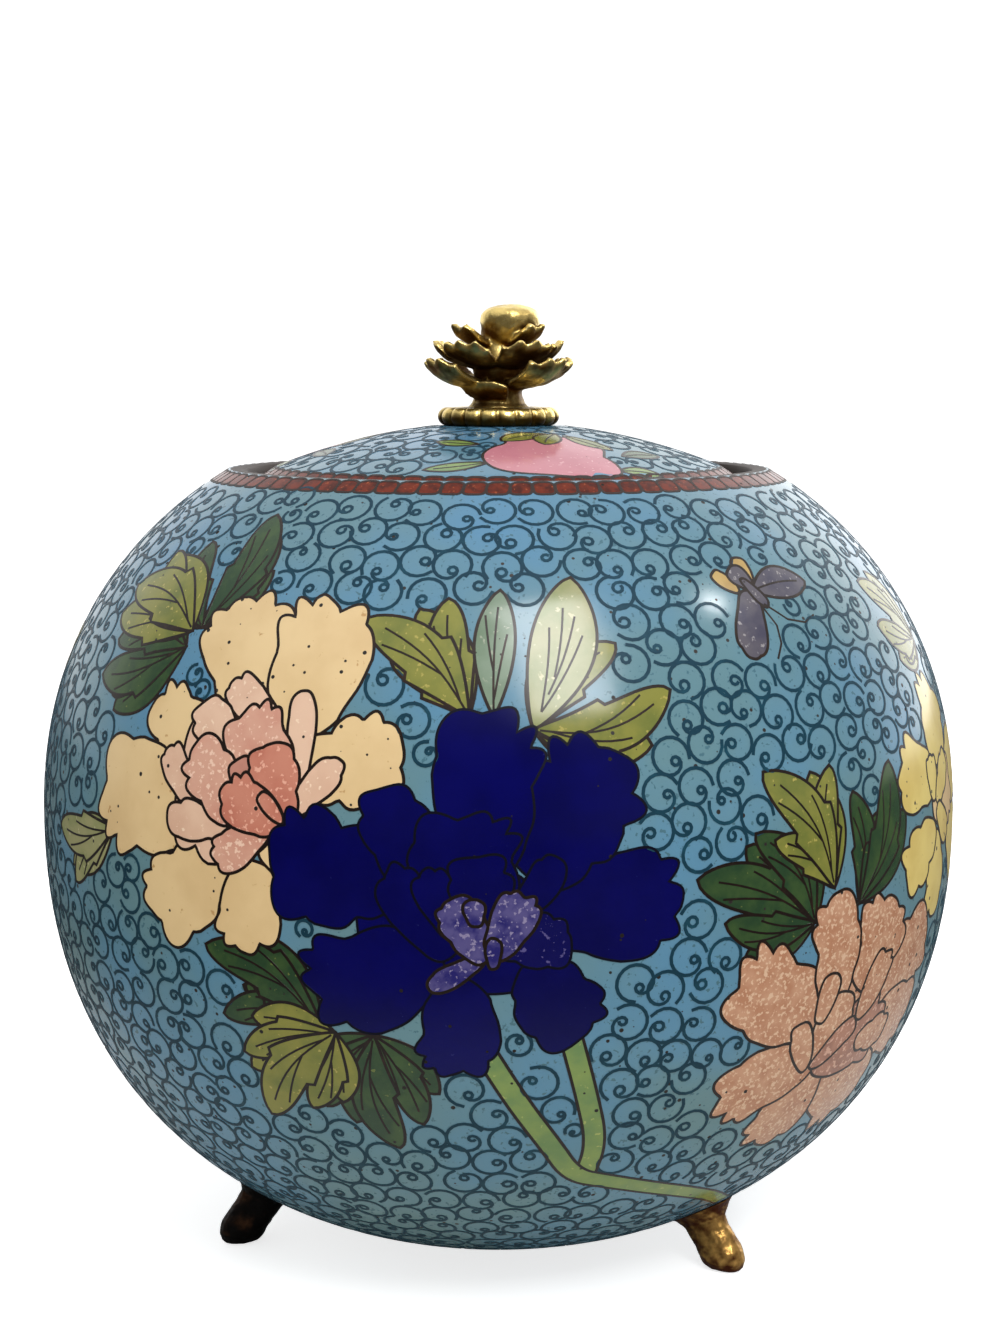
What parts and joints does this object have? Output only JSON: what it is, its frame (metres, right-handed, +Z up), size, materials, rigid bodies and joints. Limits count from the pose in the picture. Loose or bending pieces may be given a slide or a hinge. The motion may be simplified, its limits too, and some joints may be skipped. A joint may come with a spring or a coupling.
{
  "type": "cloisonne ginger jar",
  "caption": "Round hollow enamelled jar on small cast feet, with a loose domed lid that drops into the mouth and a cast flower knob.",
  "frame": {"origin": "on the ground, on the jar's axis, between the soles of its feet", "axes": "+Z up along the jar's axis, -Y towards the front with the dark blue flower, +X to the right of it"},
  "size_m": [0.1168, 0.1168, 0.1196],
  "materials": {
    "body_enamel": "polished",
    "lid_enamel": "polished",
    "gilt_brass": "satin",
    "aged_brass": "patinated"
  },
  "bodies": {
    "root": {"jar_body": "body_enamel", "lid": "lid_enamel", "finial_collar": "gilt_brass", "finial_flower": "gilt_brass", "foot_right": "aged_brass", "foot_left": "aged_brass", "foot_back": "aged_brass"}
  },
  "joints": []
}
